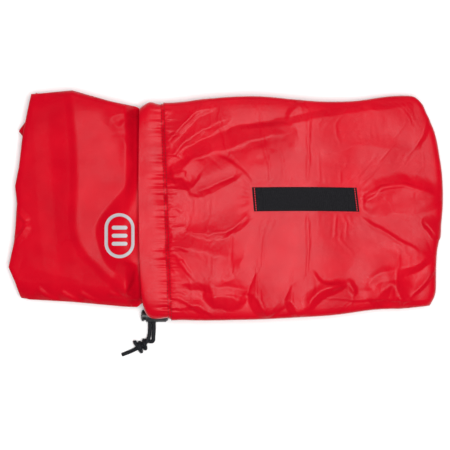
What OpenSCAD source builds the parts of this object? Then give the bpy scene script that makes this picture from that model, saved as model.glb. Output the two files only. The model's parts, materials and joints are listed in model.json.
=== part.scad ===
// Kayak spray skirt, folded and drawn half-way out of its drawstring stow sack.
// It lies flat: +X runs from the skirt towards the closed end of the sack, +Z is up.

/* [Stow sack] */
// Length of the sack from its mouth to its closed end
sack_len = 318; // [300:1:340]
// Height of the filled sack at its mouth
sack_h = 45; // [44:0.5:50]
// Height of the sack near its closed end
sack_end_h = 26; // [20:1:34]
// Thickness of the sack wall
cloth_t = 1.2; // [0.8:0.1:1.6]
// Width of the drawcord channel
channel_w = 24; // [20:1:30]
// Thickness of the channel, both plies and the cord between them
channel_t = 6.4; // [6.2:0.1:6.8]

/* [Drawcord and lock] */
// Diameter of the drawcord
cord_d = 4; // [3:0.1:4.2]
// Outer radius of the cord lock's barrel
lock_r = 6.6; // [6.2:0.1:6.8]
// Length of the cord lock's barrel
lock_len = 23; // [20:1:26]
// Travel of the lock's button
button_travel = 2.2; // [1:0.1:2.4]

/* [Webbing] */
// Width of all the webbing
webbing_w = 25; // [20:1:30]
// Thickness of one ply of webbing
webbing_t = 1.6; // [1.2:0.1:2]
// Length of the strap on the sack
strap_len = 110; // [90:1:120]

/* [Folded skirt] */
// Thickness of one leaf of the folded deck
leaf_t = 1.6; // [1.2:0.1:2]
// Diameter of the rim's shock cord
shock_d = 6; // [5:0.1:6]
// Diameter of the waist drawcord
waist_d = 2.5; // [2:0.1:2.6]
// Travel of the waist lock's button
waist_travel = 1.8; // [1:0.1:2]

/* [Hidden] */
$fn = 48;

red = "#d8182f";
dark_red = "#b01028";
charcoal = "#26242a";
grey = "#5a5a5e";
silver = "#cfcfd4";
steel = "#b8bcc0";

mouth_x = -90;
cap_x = 200;                       // where the closed end starts to round off
cap_len = mouth_x + sack_len - cap_x;
slope_x = 95;                      // the top falls away behind the folded skirt
low_x = 210;
mid_z = sack_h / 2;
mouth_lo = -112;                   // outer sides of the mouth
mouth_hi = 106;
side_r = sack_h / 2;
groove_clear = 0.3;

// One station of the sack each: place along X, near side and far side
sides = [
    [-66, -112, 106], [-20, -120, 111], [30, -117, 114], [95, -115, 110],
    [130, -111, 111], [170, -107, 114], [200, -106, 114]
];
cap_angles = [15, 30, 45, 60, 72, 81];
cap_corner = 30;                   // how far the corners of the closed end round in

function near_y(x) = lookup(x, [for (s = sides) [s[0], s[1]]]);
function far_y(x) = lookup(x, [for (s = sides) [s[0], s[2]]]);
function top_z(x) = lookup(x, [[mouth_x, sack_h], [slope_x, sack_h], [low_x, sack_end_h]]);

// ---------- shared helpers ----------

// A closed solid through a list of loops with the same number of points
module sweep(rings) {
    n = len(rings[0]);
    last = len(rings) - 1;
    skin = [for (i = [0:last - 1], j = [0:n - 1])
        [i * n + j, i * n + (j + 1) % n, (i + 1) * n + (j + 1) % n, (i + 1) * n + j]];
    start_cap = [[for (j = [n - 1:-1:0]) j]];
    end_cap = [[for (j = [0:n - 1]) last * n + j]];
    polyhedron(
        points = [for (ring = rings, p = ring) p],
        faces = concat(
            [for (q = skin) [q[0], q[2], q[1]]],
            [for (q = skin) [q[0], q[3], q[2]]],
            [for (f = start_cap) [for (k = [len(f) - 1:-1:0]) f[k]]],
            [for (f = end_cap) [for (k = [len(f) - 1:-1:0]) f[k]]]
        )
    );
}

function unit(v) = v / norm(v);

// A ring of n points round p, square to direction d
function cord_ring(p, d, r, n) =
    let (
        side = unit(cross(d, abs(d[2]) > 0.8 ? [1, 0, 0] : [0, 0, 1])),
        up = cross(side, d)
    )
    [for (k = [0:n - 1]) p + r * cos(360 * k / n) * side + r * sin(360 * k / n) * up];

// A round cord through a list of points
module cord(route, d, n = 8) {
    last = len(route) - 1;
    sweep([for (i = [0:last])
        cord_ring(route[i], unit(route[min(i + 1, last)] - route[max(i - 1, 0)]), d / 2, n)]);
}

// A stadium outline, from one side to the other, centred on a height
module stadium(lo, hi, h) {
    translate([lo + h / 2, -h / 2]) square([hi - lo - h, h]);
    translate([lo + h / 2, 0]) circle(d = h);
    translate([hi - h / 2, 0]) circle(d = h);
}

// Lays a drawing of (y, z) in the YZ plane and extrudes it along X
module along_x(x, len) {
    translate([x, 0, 0]) rotate([90, 0, 90]) linear_extrude(len) children();
}

// A closed loop of round cord in the plane x, on a stadium's centre line
module stadium_loop(x, lo, hi, h, r) {
    for (z = [-h / 2, h / 2])
        translate([x, lo + h / 2, z]) rotate([-90, 0, 0]) cylinder(r = r, h = hi - lo - h);
    translate([x, lo + h / 2, 0]) rotate([0, 90, 0]) rotate([0, 0, 180])
        rotate_extrude(angle = 180) translate([h / 2, 0]) circle(r = r);
    translate([x, hi - h / 2, 0]) rotate([0, 90, 0])
        rotate_extrude(angle = 180) translate([h / 2, 0]) circle(r = r);
}

// A slot with round ends that runs through along Y
module slot(x, w, h, y, len) {
    translate([x, y, 0]) rotate([-90, 0, 0]) linear_extrude(len) stadium(-w / 2, w / 2, h);
}

// A compression spring along X
module spring(x, len, r, wire_d, turns) {
    steps = 14;
    cord([for (i = [0:turns * steps])
        [x + wire_d / 2 + (len - wire_d) * i / (turns * steps),
         (r - wire_d / 2) * cos(360 * i / steps), (r - wire_d / 2) * sin(360 * i / steps)]],
        wire_d, 6);
}

// A cord lock: the barrel runs along X from its open end at 0, the cords pass along Y
barrel_floor = 2;
module barrel(r, len, bore_r, slot_x, slot_w, slot_h) {
    difference() {
        union() {
            cylinder_x(0, len - r / 3, r);
            translate([len - r / 3, 0, 0]) rotate([0, 90, 0])
                cylinder(r1 = r, r2 = r * 0.72, h = r / 3);
        }
        cylinder_x(-1, len - barrel_floor + 1, bore_r);
        slot(slot_x, slot_w, slot_h, -r - 1, 2 * r + 2);
    }
}

module cylinder_x(x, len, r) {
    translate([x, 0, 0]) rotate([0, 90, 0]) cylinder(r = r, h = len);
}

// The lock's button: a head outside the barrel on a slotted shaft
head_gap = 0.3;
module plunger(r, head_len, shaft_r, shaft_len, slot_x, slot_w, slot_h, travel) {
    head_x = -travel - head_gap;
    difference() {
        union() {
            cylinder_x(head_x, shaft_len - head_x, shaft_r);
            cylinder_x(head_x - head_len / 2, head_len / 2, r);
            translate([head_x - head_len, 0, 0]) rotate([0, 90, 0])
                cylinder(r1 = r * 0.7, r2 = r, h = head_len / 2);
        }
        slot(slot_x - travel / 2, slot_w + travel, slot_h, -r - 1, 2 * r + 2);
    }
}

// ---------- stow sack ----------

// Stations along the sack: x, near side, far side, middle height, half height
function stations(inset) = concat(
    [for (s = sides) [s[0], s[1] + inset, s[2] - inset, top_z(s[0]) / 2, top_z(s[0]) / 2 - inset]],
    [for (a = cap_angles)
        [cap_x + (cap_len - inset) * sin(a),
         near_y(cap_x) + inset + cap_corner * (1 - cos(a)),
         far_y(cap_x) - inset - cap_corner * (1 - cos(a)),
         top_z(cap_x) / 2, (top_z(cap_x) / 2 - inset) * cos(a)]]
);

// Half a section, from the near seam over the top (up = 1) or under (up = -1) to the far seam
function half_section(s, inset, up) =
    let (round_w = side_r - inset, arc = [0:15:90])
    concat(
        [for (a = arc) [s[0], s[1] + round_w * (1 - cos(a)), s[3] + up * s[4] * sin(a)]],
        [for (a = arc) [s[0], s[2] - round_w * (1 - sin(a)), s[3] + up * s[4] * cos(a)]]
    );

// Half of the sack's shell; both halves share the same seam face
module sack_half(up) {
    outer = [for (s = stations(0)) half_section(s, 0, up)];
    inner = [for (s = stations(cloth_t)) half_section(s, cloth_t, up)];
    n = len(outer[0]);
    rows = len(outer);
    m = n * rows;
    grid = [for (i = [0:rows - 2], j = [0:n - 2])
        [i * n + j, i * n + j + 1, (i + 1) * n + j + 1, (i + 1) * n + j]];
    outer_skin = concat([for (q = grid) [q[0], q[1], q[2]]], [for (q = grid) [q[0], q[2], q[3]]]);
    inner_skin = concat([for (q = grid) [m + q[2], m + q[1], m + q[0]]],
                        [for (q = grid) [m + q[3], m + q[2], m + q[0]]]);
    mouth = [for (j = [0:n - 2], t = [[j + 1, j, m + j], [j + 1, m + j, m + j + 1]]) t];
    near = [for (i = [0:rows - 2], e = i * n, t = [[e, e + n, m + e + n], [e, m + e + n, m + e]]) t];
    far = [for (i = [0:rows - 2], e = i * n + n - 1, t = [[e + n, e, m + e], [e + n, m + e, m + e + n]]) t];
    k = (rows - 1) * n;
    end_outer = [[for (j = [0:n - 1]) k + j]];
    end_inner = [[for (j = [n - 1:-1:0]) m + k + j]];
    end_rim = [[k, k + n - 1, m + k + n - 1], [k, m + k + n - 1, m + k]];
    faces = concat(outer_skin, inner_skin, mouth, near, far, end_outer, end_inner, end_rim);
    polyhedron(
        points = concat([for (row = outer, p = row) p], [for (row = inner, p = row) p]),
        faces = up > 0 ? [for (f = faces) [for (i = [len(f) - 1:-1:0]) f[i]]] : faces
    );
}

module sack_top_panel() { color(red) sack_half(1); }
module sack_bottom_panel() { color(dark_red) sack_half(-1); }

// Seam allowance inside the sack, along one side
seam_w = 7;
seam_t = 0.8;
seam_start_x = -60;
end_seam_x = 219.5;
module side_seam(y_of, inward) {
    sweep([for (s = [for (s = sides) if (s[0] > seam_start_x) s])
        let (z = top_z(s[0]) / 2, y = y_of(s[0]) + inward * (cloth_t - 0.2), w = inward * seam_w)
        [[s[0], y, z - seam_t / 2], [s[0], y + w, z - seam_t / 2],
         [s[0], y + w, z + seam_t / 2], [s[0], y, z + seam_t / 2]]]);
}
module side_seam_far() { color(dark_red) mirror([0, 1, 0]) side_seam(function (x) -far_y(x), 1); }
module side_seam_near() { color(dark_red) side_seam(function (x) near_y(x), 1); }

module end_seam() {
    half_w = 80;
    color(dark_red) translate([end_seam_x, -half_w, top_z(cap_x) / 2 - seam_t / 2])
        cube([seam_w, 2 * half_w, seam_t]);
}

// Centre line of the drawcord inside the channel
loop_inset = channel_t / 2;
lock_x = -84;                      // open end of the lock's barrel
lock_y = -115.5;
cord_z = lock_r + 0.2;
strand_gap = cord_d + 0.2;
first_x = -80;
strand_x = [first_x, first_x + strand_gap];
exit_x = first_x + strand_gap / 2;
exit_y = -108;                     // start and length of the cords' way out through the channel
exit_len = 9;
exit_w = cord_d + strand_gap + 2 * groove_clear;
exit_h = cord_d + 2 * groove_clear;

module drawcord_channel() {
    groove_r = cord_d / 2 + groove_clear;
    color(red) difference() {
        translate([0, 0, mid_z]) along_x(mouth_x, channel_w) difference() {
            stadium(mouth_lo, mouth_hi, sack_h);
            stadium(mouth_lo + channel_t, mouth_hi - channel_t, sack_h - 2 * channel_t);
        }
        translate([0, 0, mid_z])
            channel_loop(groove_r);
        translate([0, 0, cord_z]) slot(exit_x, exit_w, exit_h, exit_y, exit_len);
    }
}

// Two rows of stitches along the channel's inner edge
stitch_len = 3.2;
stitch_pitch = 6;
stitch_w = 0.6;
stitch_t = 0.4;
stitch_rows = [-71.5, -68.5];
stitch_lo = -84;
stitch_hi = 78;
module channel_stitching() {
    color(dark_red)
    for (x = stitch_rows, y = [stitch_lo:stitch_pitch:stitch_hi])
        translate([x, y, sack_h]) cube([stitch_w, stitch_len, stitch_t]);
}

module channel_loop(r) {
    stadium_loop(exit_x, mouth_lo + loop_inset, mouth_hi - loop_inset, sack_h - 2 * loop_inset, r);
}
module drawcord_loop() { color(charcoal) translate([0, 0, mid_z]) channel_loop(cord_d / 2); }

// Rim round the hole where the cords come out
eyelet_y = -107.4;
eyelet_t = 2;
eyelet_rim = 1.4;
eyelet_grip = 0.2;                 // how much tighter than the hole in the cloth
module cord_eyelet() {
    color(grey) translate([0, 0, cord_z]) difference() {
        slot(exit_x, exit_w + 2 * eyelet_rim, exit_h + 2 * eyelet_rim, eyelet_y, eyelet_t);
        slot(exit_x, exit_w - eyelet_grip, exit_h - eyelet_grip, eyelet_y - 1, eyelet_t + 2);
    }
}

// The two tails run straight through the lock, then bend away to the knot
lock_ys = [-101, -112, -124, -132];
tail_long_route = concat([for (y = lock_ys) [strand_x[0], y, cord_z]], [
    [-82, -139, 6],
    [-85, -144, 5.5], [-90, -148, 5], [-97, -150, 4], [-103, -154, 2.4], [-110, -157, 2.2]
]);
tail_short_route = concat([for (y = lock_ys) [strand_x[1], y, cord_z]], [
    [-77, -139, 6.4],
    [-80, -145, 6], [-85, -149, 6], [-90, -149, 8], [-94, -146, 9], [-96, -141, 8]
]);
module tail_long() { color(charcoal) cord(tail_long_route, cord_d); }
module tail_short() { color(charcoal) cord(tail_short_route, cord_d); }

// Two turns of the knot: where each one is and how it is turned
knot_r = 4.1;
knot_turns = [[-88.5, -146.5, -25], [-92.5, -148, 40]];
module tail_knot() {
    color(charcoal) for (p = knot_turns)
        translate([p[0], p[1], knot_r + cord_d / 2 + 0.1]) rotate([0, 0, p[2]]) rotate([0, 90, 0])
            rotate_extrude() translate([knot_r, 0]) circle(d = cord_d);
}

lock_bore_r = 5;
bore_gap = 0.2;
shaft_tip = 1.6;                   // shaft past its slot
button_r = 6;
head_len = 2.5;
spring_gap = 0.5;
lock_slot_x = exit_x - lock_x;
lock_shaft_len = lock_slot_x + exit_w / 2 + shaft_tip;
module at_lock() { translate([lock_x, lock_y, cord_z]) children(); }

module lock_barrel() {
    color(grey) at_lock() barrel(lock_r, lock_len, lock_bore_r, lock_slot_x, exit_w, exit_h);
}
module lock_plunger() {
    color(charcoal) at_lock()
        plunger(button_r, head_len, lock_bore_r - bore_gap, lock_shaft_len,
                lock_slot_x, exit_w, exit_h, button_travel);
}
module lock_spring() {
    color(steel) at_lock()
        spring(lock_shaft_len, lock_len - barrel_floor - lock_shaft_len, lock_bore_r - spring_gap, 0.8, 4);
}

// Webbing strap, its ends turned under and sewn down
strap_x = 27;
strap_y = -5;
strap_turn = 10;                   // length turned under at each end
strap_stitch_len = 2.6;
strap_stitch_pitch = 4;
strap_stitch_in = 2;               // from the strap's end to the stitches
module strap_profile(x0, x1, lift, t) {
    knees = concat([x0], slope_x > x0 && slope_x < x1 ? [slope_x] : [], [x1]);
    polygon(concat(
        [for (x = knees) [x, top_z(x) + lift]],
        [for (i = [len(knees) - 1:-1:0]) [knees[i], top_z(knees[i]) + lift + t]]
    ));
}
module strap() {
    end_x = strap_x + strap_len;
    color(charcoal) translate([0, strap_y + webbing_w, 0]) rotate([90, 0, 0]) linear_extrude(webbing_w) {
        strap_profile(strap_x, end_x, webbing_t, webbing_t);
        strap_profile(strap_x, strap_x + strap_turn, 0, 1.5 * webbing_t);
        strap_profile(end_x - strap_turn, end_x, 0, 1.5 * webbing_t);
    }
}
module strap_stitching() {
    rows = [strap_x + strap_stitch_in, strap_x + strap_len - strap_stitch_in - stitch_w];
    last_y = strap_y + webbing_w - strap_stitch_pitch;
    color(red) for (x = rows, y = [strap_y + 1:strap_stitch_pitch:last_y])
        translate([x, y, top_z(x) + 2 * webbing_t]) cube([stitch_w, strap_stitch_len, stitch_t]);
}

// ---------- folded skirt ----------

mouth_r = side_r - channel_t;      // rounding of the mouth's clear opening
fit_gap = 0.9;
tucked_x = 82;                     // inner end of the folded deck
fold_x = -216;                     // outer end of the folded deck
leaf_z = [1.4, 8.4, 12.6, 16.8, 28.2, 32.4, 36.6, 40.8];

function tuck(z) = sqrt(pow(mouth_r - fit_gap, 2) - pow(abs(z - mid_z) + leaf_t / 2, 2));
function leaf_near(z) = mouth_lo + side_r - tuck(z);
function leaf_far(z) = mouth_hi - side_r + tuck(z);

// A leaf of the deck that runs on into the sack
neck_x = mouth_x - 3;              // where the leaves narrow to go through the mouth
long_near = [[fold_x, -94], [-187, -98]];
long_far = [[-161, 118], [fold_x, 112]];
module long_leaf(z) {
    tongue = [
        [neck_x, leaf_near(z)], [tucked_x, leaf_near(z)],
        [tucked_x, leaf_far(z)], [neck_x, leaf_far(z)]
    ];
    translate([0, 0, z - leaf_t / 2]) linear_extrude(leaf_t) polygon(concat(long_near, tongue, long_far));
}

// A leaf that stays outside the mouth
short_outline = [
    [neck_x, 102], [-161, 120], [-205, 118], [-215, 100], [-219, 20],
    [-220, -25], [-228, -64], [-217, -95], [-187, -99], [neck_x, -107]
];
module short_leaf(z) {
    translate([0, 0, z - leaf_t / 2]) linear_extrude(leaf_t) polygon(short_outline);
}

// The round turn between two leaves
module turn(x, z0, z1, near, far, side) {
    r = (z1 - z0) / 2;
    translate([x, far, (z0 + z1) / 2]) rotate([90, 0, 0]) linear_extrude(far - near) intersection() {
        difference() {
            circle(r + leaf_t / 2);
            circle(r - leaf_t / 2);
        }
        translate([side < 0 ? -3 * r : 0, -2 * r - 2]) square([3 * r, 4 * r + 4]);
    }
}

turn_near = -90;                   // how far the round turns reach to each side
outer_turn_far = 96;
inner_turn_far = 86;
module deck() {
    color(red) {
        for (i = [1:6]) long_leaf(leaf_z[i]);
        for (i = [0, 7]) short_leaf(leaf_z[i]);
        for (i = [0, 2, 4, 6]) turn(fold_x, leaf_z[i], leaf_z[i + 1], turn_near, outer_turn_far, -1);
        for (i = [1, 3, 5]) turn(tucked_x, leaf_z[i], leaf_z[i + 1], turn_near, inner_turn_far, 1);
    }
}

// A plain generic badge: a rounded ring round three bars
mark_at = [-111, -31];
mark_len = 47;
mark_w = 31;
mark_line = 3;
bar_len = 18;
bar_pitch = 9;
ink_t = 0.3;
module printed_mark() {
    hole_len = mark_len - 2 * mark_line;
    color(silver) translate([mark_at[0], mark_at[1], leaf_z[7] + leaf_t / 2]) linear_extrude(ink_t) {
        difference() {
            rotate(90) stadium(-mark_len / 2, mark_len / 2, mark_w);
            rotate(90) stadium(-hole_len / 2, hole_len / 2, mark_w - 2 * mark_line);
        }
        for (i = [-1:1]) translate([-bar_len / 2, i * bar_pitch - mark_line / 2])
            square([bar_len, mark_line]);
    }
}

// Closed run of the rim, folded back on itself: outer run, inner run and two turns
rim_lo = [-164, -52];
rim_hi = [24, 48];
rim_out = 36;
rim_in = 12;
rim_gap = 20;
hem_wall = 1.4;
hem_play = 0.2;
module rim_run(r) {
    turn_r = (rim_out - rim_in) / 2;
    for (d = [rim_out, rim_in]) {
        for (y = [rim_lo[1] - d, rim_hi[1] + d])
            translate([rim_lo[0], y, mid_z]) rotate([0, 90, 0]) cylinder(r = r, h = rim_hi[0] - rim_lo[0]);
        rim_straight(rim_hi[0] + d, rim_lo[1], rim_hi[1], r);
        rim_straight(rim_lo[0] - d, rim_lo[1], -rim_gap, r);
        rim_straight(rim_lo[0] - d, rim_gap, rim_hi[1], r);
        rim_bend([rim_lo[0], rim_lo[1]], 180, 90, d, r);
        rim_bend([rim_hi[0], rim_lo[1]], 270, 90, d, r);
        rim_bend([rim_hi[0], rim_hi[1]], 0, 90, d, r);
        rim_bend([rim_lo[0], rim_hi[1]], 90, 90, d, r);
    }
    rim_bend([rim_lo[0] - rim_in - turn_r, -rim_gap], 0, 180, turn_r, r);
    rim_bend([rim_lo[0] - rim_in - turn_r, rim_gap], 180, 180, turn_r, r);
}
module rim_straight(x, y0, y1, r) {
    translate([x, y0, mid_z]) rotate([-90, 0, 0]) cylinder(r = r, h = y1 - y0);
}
module rim_bend(centre, from, sweep_a, bend_r, r) {
    translate([centre[0], centre[1], mid_z]) rotate([0, 0, from])
        rotate_extrude(angle = sweep_a) translate([bend_r, 0]) circle(r = r);
}
module rim_hem() {
    color(red) difference() {
        rim_run(shock_d / 2 + hem_wall);
        rim_run(shock_d / 2 + hem_play);
    }
}
module rim_shock_cord() { color(charcoal) rim_run(shock_d / 2); }

grab_x = 6;
grab_lo = -48;
grab_hi = 44;
grab_h = 7;
module grab_loop() {
    color(charcoal) translate([0, 0, mid_z]) along_x(grab_x, webbing_w) difference() {
        stadium(grab_lo, grab_hi, grab_h);
        stadium(grab_lo + webbing_t, grab_hi - webbing_t, grab_h - 2 * webbing_t);
    }
}

// Waist tunnel, with a hem at its end for the waist drawcord
tunnel_x = -150;
tunnel_len = 110;
tunnel_lo = -50;
tunnel_hi = 46;
tunnel_h = 6;
tunnel_t = 1.2;
hem_len = 10;
hem_x = tunnel_x + tunnel_len;
hem_h = 8.8;
hem_over = 1;                      // how far the hem stands out past the tunnel
hem_t = 4;
hem_slit = 0.8;
waist_loop_h = 4.8;
waist_play = 0.2;
waist_tail_z = 0.8;                // height of the tails over the middle of the fold
module waist_tunnel() {
    color(red) translate([0, 0, mid_z]) along_x(tunnel_x, tunnel_len) difference() {
        stadium(tunnel_lo, tunnel_hi, tunnel_h);
        stadium(tunnel_lo + tunnel_t, tunnel_hi - tunnel_t, tunnel_h - 2 * tunnel_t);
    }
}
module tunnel_hem() {
    opening_w = 2 * waist_d + 1;
    color(dark_red) translate([0, 0, mid_z]) difference() {
        along_x(hem_x, hem_len) difference() {
            stadium(tunnel_lo - hem_over, tunnel_hi + hem_over, hem_h);
            stadium(tunnel_lo - hem_over + hem_t, tunnel_hi + hem_over - hem_t, hem_slit);
        }
        waist_loop(waist_d / 2 + waist_play);
        translate([hem_x + hem_len / 2, -opening_w / 2, waist_tail_z - waist_d / 2 - waist_play])
            cube([hem_len, opening_w, waist_d + 2 * waist_play]);
    }
}
module waist_loop(r) {
    stadium_loop(hem_x + hem_len / 2, tunnel_lo + hem_over, tunnel_hi - hem_over, waist_loop_h, r);
}
module waist_drawcord() { color(charcoal) translate([0, 0, mid_z]) waist_loop(waist_d / 2); }

// The waist drawcord's two tails run from the loop out through the waist lock
waist_pitch = waist_d + 0.4;
waist_tail_end = -8;
module waist_cord_tails() {
    start_x = hem_x + hem_len / 2 + waist_d / 2 - waist_play;
    color(charcoal) for (y = [-waist_pitch / 2, waist_pitch / 2])
        translate([start_x, y, mid_z + waist_tail_z]) rotate([0, 90, 0])
            cylinder(d = waist_d, h = waist_tail_end - start_x);
}
waist_end = [5, 8, 5.6];           // moulded end that joins the two tails
module waist_cord_end() {
    color(grey) translate([waist_tail_end, -waist_end[1] / 2, mid_z + waist_tail_z - waist_end[2] / 2])
        cube(waist_end);
}

waist_lock_x = -22.5;
waist_lock_y = -7;
waist_slot_play = 0.5;
waist_slot_w = waist_pitch + waist_d + waist_slot_play;
waist_slot_h = waist_d + waist_slot_play;
waist_slot_x = -waist_lock_y;
waist_shaft_len = waist_slot_x + waist_slot_w / 2 + 1;
waist_bore_r = 2.8;
waist_button_r = 3.6;
waist_spring_r = 2.5;
waist_lock_len = 17;
waist_lock_r = 3.9;
module at_waist_lock() {
    translate([waist_lock_x, waist_lock_y, mid_z + waist_tail_z]) rotate([0, 0, 90]) children();
}
module waist_lock_barrel() {
    color(grey) at_waist_lock()
        barrel(waist_lock_r, waist_lock_len, waist_bore_r, waist_slot_x, waist_slot_w, waist_slot_h);
}
module waist_lock_plunger() {
    color(charcoal) at_waist_lock()
        plunger(waist_button_r, head_len, waist_bore_r - bore_gap, waist_shaft_len,
                waist_slot_x, waist_slot_w, waist_slot_h, waist_travel);
}
module waist_lock_spring() {
    color(steel) at_waist_lock()
        spring(waist_shaft_len, waist_lock_len - barrel_floor - waist_shaft_len, waist_spring_r, 0.5, 4);
}

sack_top_panel();
sack_bottom_panel();
side_seam_far();
side_seam_near();
end_seam();
drawcord_channel();
channel_stitching();
drawcord_loop();
cord_eyelet();
tail_long();
tail_short();
tail_knot();
lock_barrel();
lock_plunger();
lock_spring();
strap();
strap_stitching();
deck();
printed_mark();
rim_hem();
rim_shock_cord();
grab_loop();
waist_tunnel();
tunnel_hem();
waist_drawcord();
waist_cord_tails();
waist_cord_end();
waist_lock_barrel();
waist_lock_plunger();
waist_lock_spring();
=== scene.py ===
"""Looks for a folded kayak spray skirt, drawn half-way out of its drawstring stow sack."""

import contextlib
import json
import math

import bmesh
import bpy
import numpy as np
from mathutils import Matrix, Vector


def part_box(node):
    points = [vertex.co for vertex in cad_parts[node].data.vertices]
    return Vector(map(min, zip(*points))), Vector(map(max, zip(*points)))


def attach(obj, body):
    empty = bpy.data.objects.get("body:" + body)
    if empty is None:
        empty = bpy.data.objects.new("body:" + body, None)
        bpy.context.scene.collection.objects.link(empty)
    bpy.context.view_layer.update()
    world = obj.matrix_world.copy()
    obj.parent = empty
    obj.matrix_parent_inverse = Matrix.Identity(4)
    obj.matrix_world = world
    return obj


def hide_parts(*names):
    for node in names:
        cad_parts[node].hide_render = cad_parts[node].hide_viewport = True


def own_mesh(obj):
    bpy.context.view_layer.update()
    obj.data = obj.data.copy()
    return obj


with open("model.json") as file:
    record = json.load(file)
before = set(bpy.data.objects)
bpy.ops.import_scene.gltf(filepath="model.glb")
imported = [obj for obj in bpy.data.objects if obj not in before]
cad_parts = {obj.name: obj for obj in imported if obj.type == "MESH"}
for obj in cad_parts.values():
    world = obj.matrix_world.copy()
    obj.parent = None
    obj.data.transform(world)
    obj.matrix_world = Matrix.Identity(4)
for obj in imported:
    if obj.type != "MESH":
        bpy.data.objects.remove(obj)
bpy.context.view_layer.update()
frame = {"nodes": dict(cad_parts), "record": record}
MM = 0.001


# ---------- the camera ----------

SENSOR = 36.0
VIEW_WIDTH = 0.4725                    # what the square picture covers at the view level
VIEW_LEVEL = 0.02
CAMERA_AT = (-0.0008, -0.0198, 3.0)


def add_camera():
    """Straight above the object, as in the photo."""
    data = bpy.data.cameras.new("camera")
    data.sensor_width = SENSOR
    data.lens = SENSOR * (CAMERA_AT[2] - VIEW_LEVEL) / VIEW_WIDTH
    camera = bpy.data.objects.new("camera", data)
    camera.location = CAMERA_AT
    bpy.context.scene.collection.objects.link(camera)
    bpy.context.scene.camera = camera


# ---------- materials ----------

NYLON_RED = (0.55, 0.0019, 0.0125)
NYLON_WEAVE = 0.0006                   # period of the threads, in metres
THREAD_TWIST = 0.0004


def grey(value):
    return value, value, value


class Look:
    """A procedural material in the making, its patterns in the object's own coordinates."""

    def __init__(self, name, base, roughness, metallic=0.0, specular=None, sheen=None):
        self.material = bpy.data.materials.new(name)
        self.material.use_nodes = True
        self.tree = self.material.node_tree
        self.shader = self.tree.nodes["Principled BSDF"]
        self.place = self.node("TexCoord").outputs["Object"]
        self.normal = None
        sockets = {"Base Color": (*base, 1), "Roughness": roughness, "Metallic": metallic}
        if specular is not None:
            sockets["Specular IOR Level"] = specular
        if sheen is not None:
            sockets.update({"Sheen Weight": sheen, "Sheen Roughness": 0.4})
        for socket, value in sockets.items():
            self.shader.inputs[socket].default_value = value

    def node(self, kind, **values):
        node = self.tree.nodes.new("ShaderNode" + kind)
        for socket, value in values.items():
            node.inputs[socket.replace("_", " ")].default_value = value
        return node

    def link(self, source, target):
        self.tree.links.new(source, target)

    def noise(self, scale, detail, roughness=0.55):
        node = self.node("TexNoise", Scale=scale, Detail=detail, Roughness=roughness)
        self.link(self.place, node.inputs["Vector"])
        return node.outputs["Fac"]

    def threads(self, direction, period):
        """Fine parallel threads with a given period in metres."""
        scale = 2 * math.pi / (20 * period)
        node = self.node("TexWave", Scale=scale, Distortion=0.4, Detail=1, Detail_Scale=3)
        node.wave_type = "BANDS"
        node.bands_direction = direction
        self.link(self.place, node.inputs["Vector"])
        return node.outputs["Fac"]

    def weave(self, period):
        """Threads along X crossed with threads along Y."""
        node = self.node("Math")
        node.operation = "MULTIPLY"
        for direction, socket in zip("XY", node.inputs):
            self.link(self.threads(direction, period), socket)
        return node.outputs[0]

    def ramp(self, pattern, stops, target):
        """Gives one of the shader's sockets a colour for each of some levels of a pattern."""
        node = self.node("ValToRGB")
        elements = node.color_ramp.elements
        elements.remove(elements[1])
        elements[0].position = stops[0][0]
        elements[0].color = (*stops[0][1], 1)
        for level, colour in stops[1:]:
            elements.new(level).color = (*colour, 1)
        self.link(pattern, node.inputs["Fac"])
        self.link(node.outputs["Color"], self.shader.inputs[target])

    def bump(self, pattern, depth, strength):
        """Adds relief, on top of the relief that is there."""
        node = self.node("Bump", Distance=depth, Strength=strength)
        self.link(pattern, node.inputs["Height"])
        if self.normal is not None:
            self.link(self.normal, node.inputs["Normal"])
        self.normal = node.outputs["Normal"]
        self.link(self.normal, self.shader.inputs["Normal"])


def nylon_material(name, tone, shine):
    """Coated nylon taffeta: a plain weave under a semi-gloss coat, crinkled from being packed."""
    base = tuple(c * tone for c in NYLON_RED)
    dark = (base[0] * 0.90, base[1] * 0.7, base[2] * 0.9)
    pale = (base[0] * 1.10, base[1] * 2.0, base[2] * 1.25)
    look = Look(name, base, 0.42, specular=shine)
    look.ramp(look.noise(26, 3), [(0.30, dark), (0.55, base), (0.78, pale)], "Base Color")
    look.ramp(look.noise(60, 4), [(0.3, grey(0.25)), (0.7, grey(0.34))], "Roughness")
    look.bump(look.noise(95, 5, 0.6), depth=0.0006, strength=0.4)
    look.bump(look.weave(NYLON_WEAVE), depth=0.00008, strength=0.5)
    return look.material


def thread_material(name, base):
    look = Look(name, base, 0.55, specular=0.3)
    look.bump(look.threads("DIAGONAL", THREAD_TWIST), depth=0.0001, strength=0.6)
    return look.material


def webbing_material():
    look = Look("webbing_charcoal", (0.007, 0.0065, 0.008), 0.72, specular=0.11, sheen=0.03)
    fibre = look.noise(900, 4)
    look.ramp(fibre, [(0.3, (0.004, 0.0037, 0.005)), (0.7, (0.012, 0.0115, 0.014))], "Base Color")
    look.bump(fibre, depth=0.00015, strength=0.6)
    return look.material


def cord_material():
    look = Look("cord_black", (0.007, 0.0075, 0.010), 0.6, specular=0.14, sheen=0.02)
    fibre = look.noise(1400, 3)
    look.ramp(fibre, [(0.3, (0.003, 0.0035, 0.005)), (0.7, (0.014, 0.015, 0.019))], "Base Color")
    look.bump(fibre, depth=0.0001, strength=0.6)
    return look.material


def plastic_material(name, base):
    """Moulded plastic with a fine grain, worn a little paler and rougher in places."""
    look = Look(name, base, 0.42)
    wear = look.noise(240, 4)
    dark, pale = (tuple(c * share for c in base) for share in (0.85, 1.25))
    look.ramp(wear, [(0.35, dark), (0.7, pale)], "Base Color")
    look.ramp(wear, [(0.3, grey(0.36)), (0.7, grey(0.52))], "Roughness")
    look.bump(look.noise(2200, 2), depth=0.00006, strength=0.5)
    return look.material


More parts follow.
